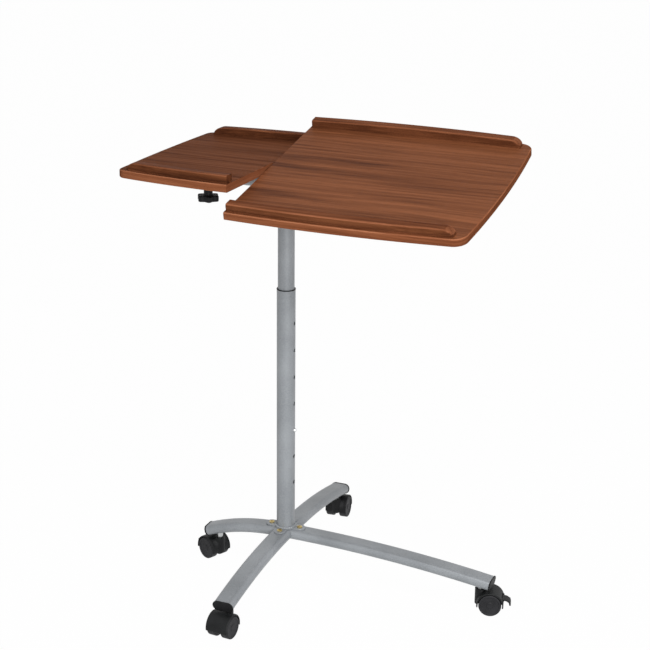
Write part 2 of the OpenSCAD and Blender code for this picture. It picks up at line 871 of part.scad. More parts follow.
module tilt_knob() {
    color(BLACK) at_main() translate([far_bracket_x, 0, 0]) knob();
}

module tilt_knob_stud() {
    color(BRIGHT) at_main() translate([far_bracket_x, 0, 0]) knob_stud();
}

// The side shelf, nearly level

module at_shelf_panel() {
    at_shelf() translate([shelf_bracket_x - shelf_edge, shelf_back, panel_z])
        mirror([1, 0, 0]) children();
}

module side_shelf() {
    color(WOOD) at_shelf_panel() difference() {
        panel(SHELF);
        translate([0, 0, -1]) ledge_screw_places(SHELF, shelf_ledge_at)
            cylinder(r = pilot_r, h = panel_t + 2);
        translate([shelf_bracket_x - shelf_edge, -shelf_back, -1]) bracket_screw_places()
            cylinder(r = pilot_r, h = bracket_screw_len + 1.5);
    }
}

module shelf_ledge() {
    translate([0, 0, panel_t - ledge_seat])
        ledge(SHELF, shelf_ledge_start, shelf_ledge_end, shelf_ledge_at);
}

module shelf_front_ledge() {
    color(WOOD_DARK) at_shelf_panel() mirror([0, 1, 0]) shelf_ledge();
}

module shelf_rear_ledge() {
    color(WOOD_DARK) at_shelf_panel() shelf_ledge();
}

module shelf_ledge_screws() {
    color(BRIGHT) at_shelf_panel()
        ledge_screw_places(SHELF, shelf_ledge_at) wood_screw(panel_t + ledge_screw_len);
}

module shelf_bracket() {
    color(METAL) at_shelf() bracket(true);
}

module shelf_bracket_screws() {
    color(BRIGHT) at_shelf() bracket_screws();
}

module shelf_knob() {
    color(BLACK) at_shelf() knob();
}

module shelf_knob_stud() {
    color(BRIGHT) at_shelf() knob_stud();
}

// A caster: hood, axle, two wheels and maybe a brake lever, trailing along +X from its stem

module sector(r, from, to) {
    steps = 6;
    polygon(concat([[0, 0]], arc([0, 0], r, from, to, steps)));
}

module hood_shell() {
    translate([caster_trail, 0, wheel_r]) rotate([90, 0, 0]) rotate([0, 0, tail_turn])
        rotate_extrude(angle = nose_turn - tail_turn)
            polygon([[0, -web_half], [hood_in_r, -web_half], [hood_in_r, -caster_half_w],
                [hood_out_r, -caster_half_w], [hood_out_r, caster_half_w],
                [hood_in_r, caster_half_w], [hood_in_r, web_half], [0, web_half]]);
}

// The room that the wheels need, cut into the middle of the wall that joins it
module wheel_space() {
    for (side = [-1, 1])
        translate([caster_trail, side * (web_half - 0.2 + THROUGH / 2), wheel_r])
            across(hood_in_r + hood_wall / 2, THROUGH / 2);
}

module hood_boss() {
    difference() {
        translate([0, 0, stem_low_z]) cylinder(d = hood_boss_d, h = hood_top_z - stem_low_z);
        wheel_space();
    }
}

module hood_ears() {
    difference() {
        translate([lever_x, 0, lever_z])
            across(lever_pin_r + ear_wall, lever_w / 2 + pass_gap + lever_pin_len + ear_end);
        wheel_space();
    }
}

// The room for a lever in its hood: a slot for the plate and a bore for the pins
module lever_room() {
    translate([caster_trail, lever_w / 2 + pass_gap, wheel_r]) rotate([90, 0, 0])
        linear_extrude(lever_w + 2 * pass_gap) difference() {
            sector(THROUGH / 4, lever_turn - slot_below, lever_turn + slot_above);
            circle(r = wheel_r);
        }
    translate([lever_x, 0, lever_z])
        across(lever_pin_r + run_gap, lever_w / 2 + pass_gap + lever_pin_len);
}

module hood(braked) {
    difference() {
        union() {
            hood_shell();
            hood_boss();
            if (braked)
                hood_ears();
            translate([caster_trail, 0, wheel_r])
                across(axle_r + axle_boss_wall, web_half - run_gap);
        }
        if (braked)
            lever_room();
        cylinder(r = stem_r + run_gap, h = THROUGH);
        translate([caster_trail, 0, wheel_r]) across(axle_r, THROUGH);
    }
}

module axle() {
    translate([caster_trail, 0, wheel_r]) across(axle_r, caster_half_w - axle_end_cover);
}

// A wheel lies on its inner face: hub and web inside, rounded tread, sunk outer disc
module wheel(side) {
    edge = wheel_edge_r;
    disc_r = wheel_r - wheel_rim;
    bore_len = wheel_w - disc_sunk - axle_cover_t;
    hollow_in = axle_r + wheel_hub_wall;
    translate([caster_trail, 0, wheel_r]) rotate([-90 * side, 0, 0])
        translate([0, 0, wheel_gap / 2]) rotate_extrude()
            difference() {
                union() {
                    square([wheel_r - edge, wheel_w]);
                    translate([0, edge]) square([wheel_r, wheel_w - 2 * edge]);
                    translate([wheel_r - edge, edge]) circle(r = edge);
                    translate([wheel_r - edge, wheel_w - edge]) circle(r = edge);
                }
                translate([-1, wheel_w - disc_sunk]) square([disc_r + 1, disc_sunk + 1]);
                translate([-1, -1]) square([axle_r + run_gap + 1, bore_len + 1]);
                translate([hollow_in, -1])
                    square([disc_r - hollow_in, wheel_w - disc_sunk - disc_t + 1]);
                translate([-wheel_w, -1]) square([wheel_w, wheel_w + 2]);
            }
}

// The lever's plate hooks down behind the hood, and its barrel turns in the hood's ears
module brake_lever() {
    translate([lever_x, 0, lever_z]) {
        translate([0, lever_w / 2, 0]) rotate([90, 0, 0]) linear_extrude(lever_w) {
            circle(r = lever_barrel_r);
            polygon(strip(lever_path, lever_t));
        }
        across(lever_pin_r, lever_w / 2 + lever_pin_len);
    }
}

module left_hood() {
    color(BLACK) at_caster(LEFT) hood(true);
}

module left_axle() {
    color(BRIGHT) at_caster(LEFT) axle();
}

module left_wheel_a() {
    color(DARK) at_caster(LEFT) wheel(1);
}

module left_wheel_b() {
    color(DARK) at_caster(LEFT) wheel(-1);
}

module left_brake_lever() {
    color(BLACK) at_caster(LEFT) brake_lever();
}

module right_hood() {
    color(BLACK) at_caster(RIGHT) hood(true);
}

module right_axle() {
    color(BRIGHT) at_caster(RIGHT) axle();
}

module right_wheel_a() {
    color(DARK) at_caster(RIGHT) wheel(1);
}

module right_wheel_b() {
    color(DARK) at_caster(RIGHT) wheel(-1);
}

module right_brake_lever() {
    color(BLACK) at_caster(RIGHT) brake_lever();
}

module front_hood() {
    color(BLACK) at_caster(FRONT) hood(false);
}

module front_axle() {
    color(BRIGHT) at_caster(FRONT) axle();
}

module front_wheel_a() {
    color(DARK) at_caster(FRONT) wheel(1);
}

module front_wheel_b() {
    color(DARK) at_caster(FRONT) wheel(-1);
}

module rear_hood() {
    color(BLACK) at_caster(REAR) hood(false);
}

module rear_axle() {
    color(BRIGHT) at_caster(REAR) axle();
}

module rear_wheel_a() {
    color(DARK) at_caster(REAR) wheel(1);
}

module rear_wheel_b() {
    color(DARK) at_caster(REAR) wheel(-1);
}

lower_tube();
column_bush();
hub_plate();
hub_screws();
hub_nuts();
leg_left();
leg_right();
leg_front();
leg_rear();
leg_cap_left();
leg_cap_right();
leg_cap_front();
leg_cap_rear();
caster_stems();
upper_tube();
guide_plug();
snap_button();
button_spring();
cross_tube();
cross_tube_caps();
main_top();
main_front_ledge();
main_rear_ledge();
main_ledge_screws();
near_bracket();
tilt_bracket();
main_bracket_screws();
tilt_knob();
tilt_knob_stud();
side_shelf();
shelf_front_ledge();
shelf_rear_ledge();
shelf_ledge_screws();
shelf_bracket();
shelf_bracket_screws();
shelf_knob();
shelf_knob_stud();
left_hood();
left_axle();
left_wheel_a();
left_wheel_b();
left_brake_lever();
right_hood();
right_axle();
right_wheel_a();
right_wheel_b();
right_brake_lever();
front_hood();
front_axle();
front_wheel_a();
front_wheel_b();
rear_hood();
rear_axle();
rear_wheel_a();
rear_wheel_b();
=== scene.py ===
"""Looks of the computer cart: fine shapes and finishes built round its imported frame."""
import json
import math

import bmesh
import bpy
from mathutils import Matrix, Vector


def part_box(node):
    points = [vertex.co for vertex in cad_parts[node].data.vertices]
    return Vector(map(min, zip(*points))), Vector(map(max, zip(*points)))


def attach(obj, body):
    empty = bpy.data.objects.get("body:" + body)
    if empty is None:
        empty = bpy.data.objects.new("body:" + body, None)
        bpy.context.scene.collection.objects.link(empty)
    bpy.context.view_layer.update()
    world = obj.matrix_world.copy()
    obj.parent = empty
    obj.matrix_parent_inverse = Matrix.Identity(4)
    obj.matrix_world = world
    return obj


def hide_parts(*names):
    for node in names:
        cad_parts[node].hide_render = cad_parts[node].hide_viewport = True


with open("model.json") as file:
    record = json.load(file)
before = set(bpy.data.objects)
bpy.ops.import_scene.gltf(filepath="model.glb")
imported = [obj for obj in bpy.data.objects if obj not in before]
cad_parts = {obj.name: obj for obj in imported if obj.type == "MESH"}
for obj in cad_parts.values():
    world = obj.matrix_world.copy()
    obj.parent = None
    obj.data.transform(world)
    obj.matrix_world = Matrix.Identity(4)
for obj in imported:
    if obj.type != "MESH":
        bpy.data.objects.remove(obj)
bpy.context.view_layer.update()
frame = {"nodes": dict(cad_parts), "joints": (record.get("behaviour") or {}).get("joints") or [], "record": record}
joints = {joint["name"]: joint for joint in frame["joints"]}
body_of = {node: body for body, nodes in frame["record"]["behaviour"]["bodies"].items()
           for node in nodes}

MM = 0.001
MERGE = 0.002 * MM
QUARTER_TURN = math.pi / 2
LEGS = ("left", "right", "front", "rear")
BRAKED = ("left", "right")

# Camera: its place from the foot of the column's axis, its turns in radians, its lens in mm
CAMERA_FROM_AXIS = (1243.8 * MM, -2825.0 * MM, 1586.0 * MM)
CAMERA_YAW = 0.39064
CAMERA_PITCH = 0.33121
CAMERA_ROLL = 0.00984
CAMERA_LENS = 94.42
CAMERA_SENSOR = 36
CAMERA_REACH = 100

# Lamps and studio, in metres and watts
LAMP_SIZE = 1.2
LAMP_AIM = Vector((0, 0, 0.5))
KEY_PLACE = (1.0, -1.5, 2.9)
KEY_POWER = 46
FRONT_PLACE = (1.9, -3.0, 1.2)
FRONT_POWER = 66
FLOOR_SIZE = 30
FLOOR_GLOW = 0.985
SKY_LIGHT = 0.22

# Angles, in degrees: below the first, faces count as one flat; above the second, an edge is
# rounded; above the third, it stays sharp in the shading
FLAT_ANGLE = 0.4
SOFT_ANGLE = 50
CREASE = 38

# Facets of most roundings
ROUND_STEPS = 4

# The wooden tops
PANEL_T = 15 * MM
PANEL_LIFT = 18 * MM
RIM_R = 2.8 * MM
LONG_EDGE_STEPS = 24
CORNER_STEPS = 10
SIDE_STEPS = 12

# Their ledges, which fall to the panel at the outer end and have a cove at the outer foot
LEDGE_SEAT = 0.3 * MM
LEDGE_W = 22.5 * MM
LEDGE_H = 15.5 * MM
LEDGE_INSET = 4 * MM
LEDGE_OUTER_R = 4 * MM
LEDGE_INNER_R = 4 * MM
LEDGE_R_STEPS = 6
LEDGE_FALL = 20 * MM
LEDGE_FALL_STEPS = 10
LEDGE_STATIONS = 28
LEDGE_COVE = 2.6 * MM
LEDGE_COVE_H = 7 * MM
LEDGE_COVE_STEPS = 5
LEDGE_COVE_REACH = LEDGE_W / 3

# The least upward part of a flat face's normal, and the most of an upright face's; they pick the plain wood, the
# painted light or shade and the painted highlight
FLAT_RISE = 0.96
BAND_RISE = 0.45

# The legs' end caps: the part outside the tube, how its rim's faces are found (by slack along
# the leg and the lean of their normals), and how far and within what slope the rim is raised
CAP_T = 3 * MM
CAP_SLACK = 0.3 * MM
CAP_SIDE = 0.2
CAP_RIM_PROUD = 0.9 * MM
CAP_RIM_SLOPE = 0.5 * MM

# The weld at the column's foot, with fine ripples and a few broad sways round it
BEAD_R = 2.1 * MM
BEAD_OUT = 1.0 * MM
BEAD_UP = 0.9 * MM
BEAD_SIDES = 12
RIPPLES = 34
RIPPLE_STEPS = 6
RIPPLE_SWELL = 0.14
SWAYS = 5
SWAY_SWELL = 0.08

# The column's sprung button
BUTTON_STEM_R = 4.0 * MM
BUTTON_FLANGE_T = 1.2 * MM
BUTTON_DOME_R = 2.6 * MM
BUTTON_FLANGE_ROUND = 0.3 * MM
BUTTON_STEPS = 40

# The clamping knobs
KNOB_UNDER_CROSS = 54.8 * MM
KNOB_R = 19.3 * MM
KNOB_GRIPS = 6
KNOB_GRIP = 2.5 * MM
KNOB_STEPS = 96
KNOB_H = 11.5 * MM
KNOB_ROUND = 2.2 * MM
KNOB_RIM = 4 * MM
KNOB_DISH = 0.8 * MM
KNOB_SUNK = 0.5 * MM
KNOB_HOLLOW_R = 4 * MM
KNOB_NECK_R = 8.5 * MM
KNOB_NECK_H = 20 * MM
KNOB_NECK_ROUND = 1 * MM
KNOB_NECK_STEPS = 48
KNOB_FLARE = 2.5 * MM
KNOB_FLARE_H = 3 * MM

# The casters: the hood's rim, then the wheel's radii and its places along the axle
HOOD_T = 4 * MM
HOOD_ROUND = 1.7 * MM
HOOD_SIDE_SLACK = 0.05 * MM
HOOD_RIM_SLACK = 0.1 * MM
BORE_R = 3.1 * MM
BOSS_R = 6.5 * MM
AXLE_CAP_R = 5.5 * MM
AXLE_CAP_FOOT_R = 7 * MM
TREAD_T = 5 * MM
WHEEL_INNER = 6.5 * MM
WHEEL_OUTER = 22.5 * MM
WEB_IN = 5 * MM
BORE_END_IN = 3 * MM
DISH_IN = 1.6 * MM
AXLE_CAP_IN = 0.6 * MM
RIM_STEP = 1.2 * MM
OUTER_SHOULDER = 2 * MM
INNER_SHOULDER = 1.6 * MM
FINE_ROUND = 0.5 * MM
WHEEL_STEPS = 64

# Wood grain: features per metre along and across it, detail and roughness of each noise
BROAD = (1.6, 26, 2, 0.5)
STREAK = (3.5, 105, 3, 0.55)
FINE = (9, 420, 3, 0.6)
PORE = (45, 1500, 2, 0.5)
WAVE = (2.6, 7, 7)
WAVE_DEPTH = 26 * MM

# Its tone: the shares of the noises, and where its dark, middle and light colours stand
BROAD_SHARE = 0.34
STREAK_SHARE = 0.42
FINE_SHARE = 0.24
DARK_STOP = 0.38
MIDDLE_STOP = 0.49
LIGHT_STOP = 0.62

# Its pores and its surface
PORE_STOP = 0.34
PORELESS_STOP = 0.46
PORE_DARKENS = 0.35
PORE_SINKS = 0.6
FINE_RISES = 0.35
WOOD_BUMP = 0.05 * MM
WOOD_ROUGHNESS = 0.4
WOOD_ROUGHER = 0.14

# Silver paint: features per metre, shares of its tone, and its surface
FLAKES = 3200
SPECKS = 420
PEEL = 340
CLOUDS = 14
FLAKE_SHARE = 0.35
SPECK_SHARE = 0.25
CLOUD_SHARE = 0.4
PAINT_LOW_STOP = 0.36
PAINT_HIGH_STOP = 0.64
PAINT_METALLIC = 0.15
PAINT_ROUGHNESS = 0.34
PAINT_ROUGHER = 0.1
FLAKE_RISES = 0.3
PAINT_BUMP = 0.03 * MM

# Bare metal: its drawing marks are so many times finer along Z, and stains dull it
MARK_STRETCH = 8
STAINS = 60
STAIN_TONE = 0.7
STAIN_SHARE = 0.5
STAIN_ROUGHER = 0.12
MARK_BUMP = 0.01 * MM

# Plastic: its tone comes from wear and from the spark-eroded grit
WEAR = 45
WEAR_SHARE = 0.7
GRIT_SHARE = 0.3
PLASTIC_LOW_STOP = 0.38
PLASTIC_HIGH_STOP = 0.62
PLASTIC_SPECULAR = 0.2
WEAR_ROUGHER = 0.12
GRIT_BUMP = 0.03 * MM


def middle(node):
    """Middle of a node's box."""
    low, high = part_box(node)
    return (low + high) / 2


AXIS_X = middle("upper_tube").x
CROSS_Z = middle("cross_tube").z
HUB_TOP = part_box("lower_tube")[0].z
LOWER_R = middle("column_bush").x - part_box("column_bush")[0].x


class Top:
    """A panel, measured outwards (u) from its straight inner edge, rearwards (v) and upwards.

    Its sizes are in mm: left and rearwards shift it on the cross tube, length and half reach
    out along u and v, drop and bow are the heights of the long edges' and the side's arcs,
    peak is where along u the long edges reach furthest, corner is the corners' radius, and
    ledge_start and ledge_end are the ledges' ends along u.
    """

    def __init__(self, node, body, tilt, outwards, **sizes):
        self.node = node
        self.body = body
        self.tilt = math.radians(tilt)
        for name, size in sizes.items():
            setattr(self, name, size * MM)
        reach = self.peak or self.length
        self.edge_r = (reach ** 2 + self.drop ** 2) / (2 * self.drop)
        self.side_r = (self.half ** 2 + self.bow ** 2) / (2 * self.bow)
        self.edge_centre = Vector((self.peak, self.half - self.edge_r))
        self.side_centre = Vector((self.length - self.side_r, 0))
        self.place = (Matrix.Translation((AXIS_X, 0, CROSS_Z))
                      @ Matrix.Rotation(self.tilt, 4, "X")
                      @ Matrix.Translation((-self.left, self.rearwards, PANEL_LIFT))
                      @ Matrix.Diagonal((outwards, 1, 1, 1)))

    def corner_centre(self):
        """Centre of the rounded corner between the bowed rear edge and the bowed side."""
        ra = self.edge_r - self.corner
        rb = self.side_r - self.corner
        apart = self.side_centre - self.edge_centre
        along = (apart.length_squared + ra ** 2 - rb ** 2) / (2 * apart.length)
        aside = math.sqrt(ra ** 2 - along ** 2)
        ahead = apart.normalized()
        return self.edge_centre + ahead * along + Vector((ahead.y, -ahead.x)) * aside

    def bow_at(self, u):
        """How far the long edges draw in at a place along them."""
        return self.edge_r - math.sqrt(self.edge_r ** 2 - (u - self.peak) ** 2)


MAIN = Top("main_top", "worktop", tilt=10.7, outwards=1, left=24, rearwards=-7.3, length=450.5,
           half=218.25, peak=196, drop=6.5, bow=10.2, corner=26, ledge_start=4, ledge_end=422)
SHELF = Top("side_shelf", "shelf", tilt=-1.1, outwards=-1, left=26.5, rearwards=9, length=234,
            half=212, peak=0, drop=21.8, bow=4.7, corner=19, ledge_start=1.5, ledge_end=212)


# Colours and shader maths

def rgb(*parts):
    """A screen colour, each part from 0 to 255, as its light by the sRGB curve."""
    light = [(p / 255 / 12.92) if p <= 10 else ((p / 255 + 0.055) / 1.055) ** 2.4 for p in parts]
    return (*light, 1)


WHITE = (1, 1, 1, 1)
BLACK = (0, 0, 0, 1)


class Wire:
    """An output socket. Sums and products of it add Math nodes to its finish."""

    def __init__(self, finish, node, output):
        self.finish = finish
        self.maker = node
        self.socket = node.outputs[output]

    def out(self, output):
        """Another output of the same node."""
        return Wire(self.finish, self.maker, output)

    def maths(self, operation, first, second, clamp=False):
        settings = {"operation": operation, "use_clamp": clamp}
        return self.finish.node("Math", settings, {0: first, 1: second})

    def __add__(self, other):
        return self.maths("ADD", self, other)

    def __radd__(self, other):
        return self.maths("ADD", other, self)

    def __sub__(self, other):
        return self.maths("SUBTRACT", self, other)

    def __mul__(self, other):
        return self.maths("MULTIPLY", self, other)

    def __rmul__(self, other):
        return self.maths("MULTIPLY", other, self)

    def clamped(self):
        """The same value, held between 0 and 1."""
        return self.maths("ADD", self, 0.0, clamp=True)


class Finish:
    """A node tree being written: a material, or the world."""

    def __init__(self, owner):
        owner.use_nodes = True
        self.owner = owner
        self.tree = owner.node_tree
        self.tree.nodes.clear()

    def node(self, kind, settings=None, inputs=None, output=0):
        """Adds a node. Its inputs take plain values, or the wires of other nodes."""
        made = self.tree.nodes.new("ShaderNode" + kind)
        for key, value in (settings or {}).items():
            if key == "stops":
                self.set_ramp(made.color_ramp, value)
            else:
                setattr(made, key, value)
        for key, value in (inputs or {}).items():
            if isinstance(value, Wire):
                self.tree.links.new(value.socket, made.inputs[key])
            else:
                made.inputs[key].default_value = value
        return Wire(self, made, output) if made.outputs else made

    def set_ramp(self, ramp, stops):
        while len(ramp.elements) < len(stops):
            ramp.elements.new(0.5)
        for element, (place, colour) in zip(ramp.elements, stops):
            element.position = place
            element.color = colour

    def place(self):
        """Places on the object, in metres."""
        return self.node("TexCoord", output="Object")

    def noise(self, place, scale, detail, roughness=0.5):
        """Noise from 0 to 1, with one scale or one for each axis, in features per metre."""
        scales = scale if isinstance(scale, tuple) else (scale, scale, scale)
        stretched = self.node("Mapping", {}, {"Vector": place, "Scale": scales})
        inputs = {"Vector": stretched, "Scale": 1.0, "Detail": detail, "Roughness": roughness}
        return self.node("TexNoise", {"noise_dimensions": "3D"}, inputs)

    def ramp(self, factor, stops):
        return self.node("ValToRGB", {"stops": stops}, {0: factor})

    def mix(self, factor, first, second):
        """A blend of two colours. They are the Mix node's inputs 6 and 7 and its output 2."""
        return self.node("Mix", {"data_type": "RGBA"}, {0: factor, 6: first, 7: second}, output=2)

    def bump(self, height, depth):
        return self.node("Bump", {}, {"Height": height, "Distance": depth, "Strength": 1.0})

    def seen(self):
        """1 for what the camera sees, straight or in a reflection, and 0 for diffuse light."""
        path = self.node("LightPath", output="Is Camera Ray")
        return (path + path.out("Is Glossy Ray") + path.out("Is Transmission Ray")).clamped()

    def surface(self, **inputs):
        """Ends a material. The shader's inputs are named in small letters."""
        named = {key.replace("_", " ").title().replace("Ior", "IOR"): value
                 for key, value in inputs.items()}
        shader = self.node("BsdfPrincipled", {}, named)
        self.node("OutputMaterial", {}, {"Surface": shader})
        return self.owner


def new_finish(name):
    return Finish(bpy.data.materials.new(name))


# Finishes

# Dark, middle and light tones of the woods
MAIN_TONES = (rgb(82, 44, 26), rgb(122, 72, 45), rgb(150, 92, 60))
SHELF_TONES = (rgb(76, 41, 25), rgb(112, 66, 43), rgb(138, 85, 58))
LEDGE_TONES = (rgb(80, 42, 26), rgb(114, 66, 42), rgb(138, 84, 56))
# Upright faces of the ledges: darker than their tops, which is painted shade
PAINTED_SHADE_FLANK_TONES = (rgb(66, 35, 21), rgb(98, 56, 34), rgb(120, 72, 46))
# Roundings of the ledges: lighter than their tops, a painted highlight along their crests
PAINTED_HIGHLIGHT_CREST_TONES = (rgb(98, 54, 34), rgb(132, 80, 53), rgb(156, 98, 68))
# Upright faces of the panels' rims: lighter than the tops, which is painted light from the front
PAINTED_LIGHT_BAND_TONES = (rgb(96, 52, 32), rgb(130, 77, 50), rgb(152, 94, 64))
# Roundings of the panels' rims: lighter still, a painted highlight along the arrises
PAINTED_HIGHLIGHT_ARRIS_TONES = (rgb(124, 72, 48), rgb(158, 100, 70), rgb(180, 120, 88))

# Other plain colours
PAINT_LOW = rgb(130, 134, 138)
PAINT_HIGH = rgb(162, 166, 170)
FLOOR_GREY = rgb(236, 236, 236)


def wood(name, tones, top, gloss, banded=False):
    """Slightly wavy walnut grain along a top's X, or round its rim in an edge band."""
    dark, body, light = tones
    finish = new_finish(name)
    level = finish.node("Mapping", {}, {"Vector": finish.place(), "Rotation": (-top.tilt, 0, 0)})
    wave = finish.noise(level, WAVE, detail=1) * WAVE_DEPTH
    shift = finish.node("CombineXYZ", {}, {"Z" if banded else "Y": wave})
    wavy = finish.node("VectorMath", {"operation": "ADD"}, {0: level, 1: shift})

    def grain(along, across, detail, roughness):
        scale = (along, along, across) if banded else (along, across, across)
        return finish.noise(wavy, scale, detail, roughness)

    broad, streak, fine, pore = [grain(*noise) for noise in (BROAD, STREAK, FINE, PORE)]
    tone = broad * BROAD_SHARE + streak * STREAK_SHARE + fine * FINE_SHARE
    colour = finish.ramp(tone, [(DARK_STOP, dark), (MIDDLE_STOP, body), (LIGHT_STOP, light)])
    pores = finish.ramp(pore, [(PORE_STOP, WHITE), (PORELESS_STOP, BLACK)])
    colour = finish.mix(pores * PORE_DARKENS, colour, dark)
    height = fine * FINE_RISES - pores * PORE_SINKS
    return finish.surface(base_color=colour, roughness=WOOD_ROUGHNESS + WOOD_ROUGHER * fine,
                          specular_ior_level=gloss, normal=finish.bump(height, WOOD_BUMP))


def silver_paint():
    """Powder coat with a fine flake and a faint orange peel."""
    finish = new_finish("silver_paint")
    place = finish.place()
    flake = finish.noise(place, FLAKES, detail=1)
    peel = finish.noise(place, PEEL, detail=2)
    cloud = finish.noise(place, CLOUDS, detail=2)
    speck = finish.noise(place, SPECKS, detail=2)
    tone = flake * FLAKE_SHARE + speck * SPECK_SHARE + cloud * CLOUD_SHARE
    colour = finish.ramp(tone, [(PAINT_LOW_STOP, PAINT_LOW), (PAINT_HIGH_STOP, PAINT_HIGH)])
    return finish.surface(base_color=colour, metallic=PAINT_METALLIC,
                          roughness=PAINT_ROUGHNESS + PAINT_ROUGHER * flake,
                          normal=finish.bump(peel + flake * FLAKE_RISES, PAINT_BUMP))


def steel(name, colour, roughness, brushed):
    """Plated or polished metal with fine drawing marks, so many to the metre, and stains."""
    finish = new_finish(name)
    place = finish.place()
    marks = finish.noise(place, (brushed, brushed, brushed * MARK_STRETCH), detail=2)
    stain = finish.noise(place, STAINS, detail=3)
    dull = tuple(STAIN_TONE * part for part in colour[:3]) + (1,)
    tone = finish.mix(stain * STAIN_SHARE, colour, dull)
    return finish.surface(base_color=tone, metallic=1.0,
                          roughness=roughness + STAIN_ROUGHER * stain,
                          normal=finish.bump(marks, MARK_BUMP))


def plastic(name, low, high, roughness, spark):
    """Moulded plastic with a spark-eroded surface, with so many grains to the metre."""
    finish = new_finish(name)
    place = finish.place()
    grit = finish.noise(place, spark, detail=2)
    wear = finish.noise(place, WEAR, detail=3)
    tone = wear * WEAR_SHARE + grit * GRIT_SHARE
    colour = finish.ramp(tone, [(PLASTIC_LOW_STOP, low), (PLASTIC_HIGH_STOP, high)])
    return finish.surface(base_color=colour, roughness=roughness + WEAR_ROUGHER * wear,
                          specular_ior_level=PLASTIC_SPECULAR,
                          normal=finish.bump(grit, GRIT_BUMP))


FINISHES = {
    "silver_paint": silver_paint(),
    "bright_steel": steel("bright_steel", rgb(196, 198, 198), roughness=0.28, brushed=700),
    "polished_steel": steel("polished_steel", rgb(226, 228, 228), roughness=0.1, brushed=400),
    "yellow_zinc": steel("yellow_zinc", rgb(198, 178, 122), roughness=0.34, brushed=500),
    "black_plastic": plastic("black_plastic", rgb(12, 12, 13), rgb(23, 23, 25),
                             roughness=0.46, spark=1500),
    "caster_plastic": plastic("caster_plastic", rgb(15, 16, 17), rgb(28, 29, 30),
                              roughness=0.46, spark=1200),
    "wheel_plastic": plastic("wheel_plastic", rgb(30, 30, 32), rgb(47, 47, 50),
                             roughness=0.5, spark=900),
}

# The woods of the flat faces, the upright ones and the roundings, in this order; the second is a lighter copy of
# the first as painted light, the third a lighter one still as a painted highlight
PANEL_WOODS = {
    top.node: [wood(top.node + "_face", tones, top, gloss),
               wood(top.node + "_band", PAINTED_LIGHT_BAND_TONES, top, gloss=0.0, banded=True),
               wood(top.node + "_arris", PAINTED_HIGHLIGHT_ARRIS_TONES, top, gloss=0.0, banded=True)]
    for top, tones, gloss in ((MAIN, MAIN_TONES, 0.03), (SHELF, SHELF_TONES, 0.003))
}
# The ledges' woods: plain tops, then upright faces in painted shade and roundings with a painted highlight
LEDGE_WOODS = {
    top.node: [wood(top.node + "_ledge", LEDGE_TONES, top, gloss=0.01),
               wood(top.node + "_ledge_flank", PAINTED_SHADE_FLANK_TONES, top, gloss=0.01),
               wood(top.node + "_ledge_crest", PAINTED_HIGHLIGHT_CREST_TONES, top, gloss=0.02)]
    for top in (MAIN, SHELF)
}


# Making pieces

def heading(start, end):
    """The turn from X to the way between two places, seen from above."""
    return math.atan2(end.y - start.y, end.x - start.x)


def copied(node, flat=True):
    """A merged copy of a CAD node's shape, with its flat faces whole, or with all its facets."""
    bm = bmesh.new()
    bm.from_mesh(frame["nodes"][node].data)
    bmesh.ops.remove_doubles(bm, verts=bm.verts, dist=MERGE)
    if flat:
        bmesh.ops.dissolve_limit(bm, angle_limit=math.radians(FLAT_ANGLE), verts=bm.verts,
                                 edges=bm.edges)
    return bm


def rounded(bm, geom, width, segments, affect="EDGES"):
    """Rounds edges, or the corners of a profile."""
    bmesh.ops.bevel(bm, geom=geom, offset=width, segments=segments, profile=0.5,
                    affect=affect, material=-1, clamp_overlap=False)


def soften(bm, width, segments, pick):
    """Rounds the outward edges that are picked."""
    limit = math.radians(SOFT_ANGLE)
    edges = [edge for edge in bm.edges if len(edge.link_faces) == 2
             and edge.calc_face_angle_signed() > limit and pick(edge)]
    rounded(bm, edges, width, segments)


def is_level(edge):
    """Whether both ends of an edge are at one height."""
    first, second = edge.verts
    return abs(first.co.z - second.co.z) < MERGE


def raised(bm, way):
    """Extrudes a flat face along a vector."""
    grown = bmesh.ops.extrude_face_region(bm, geom=bm.faces[:])
    top = [item for item in grown["geom"] if isinstance(item, bmesh.types.BMVert)]
    bmesh.ops.translate(bm, verts=top, vec=way)
    bmesh.ops.recalc_face_normals(bm, faces=bm.faces)


def full_turn(bm, steps):
    """Spins an outline once round Z and joins the ends."""
    bmesh.ops.spin(bm, geom=bm.verts[:] + bm.edges[:], cent=(0, 0, 0), axis=(0, 0, 1),
                   angle=math.tau, steps=steps, use_merge=True)
    bmesh.ops.remove_doubles(bm, verts=bm.verts, dist=MERGE)


def turned(profile, steps):
    """Spins a closed profile round Z. A point is a radius, a height and perhaps a rounding."""
    bm = bmesh.new()
    corners = [bm.verts.new((radius, 0, height)) for radius, height, *_ in profile]
    bm.faces.new(corners)
    for corner, (_, _, *rounding) in reversed(list(zip(corners, profile))):
        if rounding:
            rounded(bm, [corner], rounding[0], ROUND_STEPS, "VERTICES")
    bmesh.ops.delete(bm, geom=bm.faces[:], context="FACES_ONLY")
    full_turn(bm, steps)
    return bm


def new_mesh(bm, name):
    """Ends the writing of a shape and makes it a mesh."""
    mesh = bpy.data.meshes.new(name)
    bm.to_mesh(mesh)
    bm.free()
    return mesh


def linked(name, data):
    """A new object in the scene."""
    made = bpy.data.objects.new(name, data)
    bpy.context.scene.collection.objects.link(made)
    return made


def put(bm, name, body, slot, nodes, materials=None, crease=CREASE):
    """Turns a finished shape into a piece that rides on its body."""
    bmesh.ops.recalc_face_normals(bm, faces=bm.faces)
    mesh = new_mesh(bm, name)
    for material in materials or [FINISHES[slot]]:
        mesh.materials.append(material)
    mesh.shade_smooth()
    mesh.set_sharp_from_angle(angle=math.radians(crease))
    piece = linked(name, mesh)
    even = piece.modifiers.new("even_shading", "WEIGHTED_NORMAL")
    even.keep_sharp = True
    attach(piece, body)
    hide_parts(*nodes)


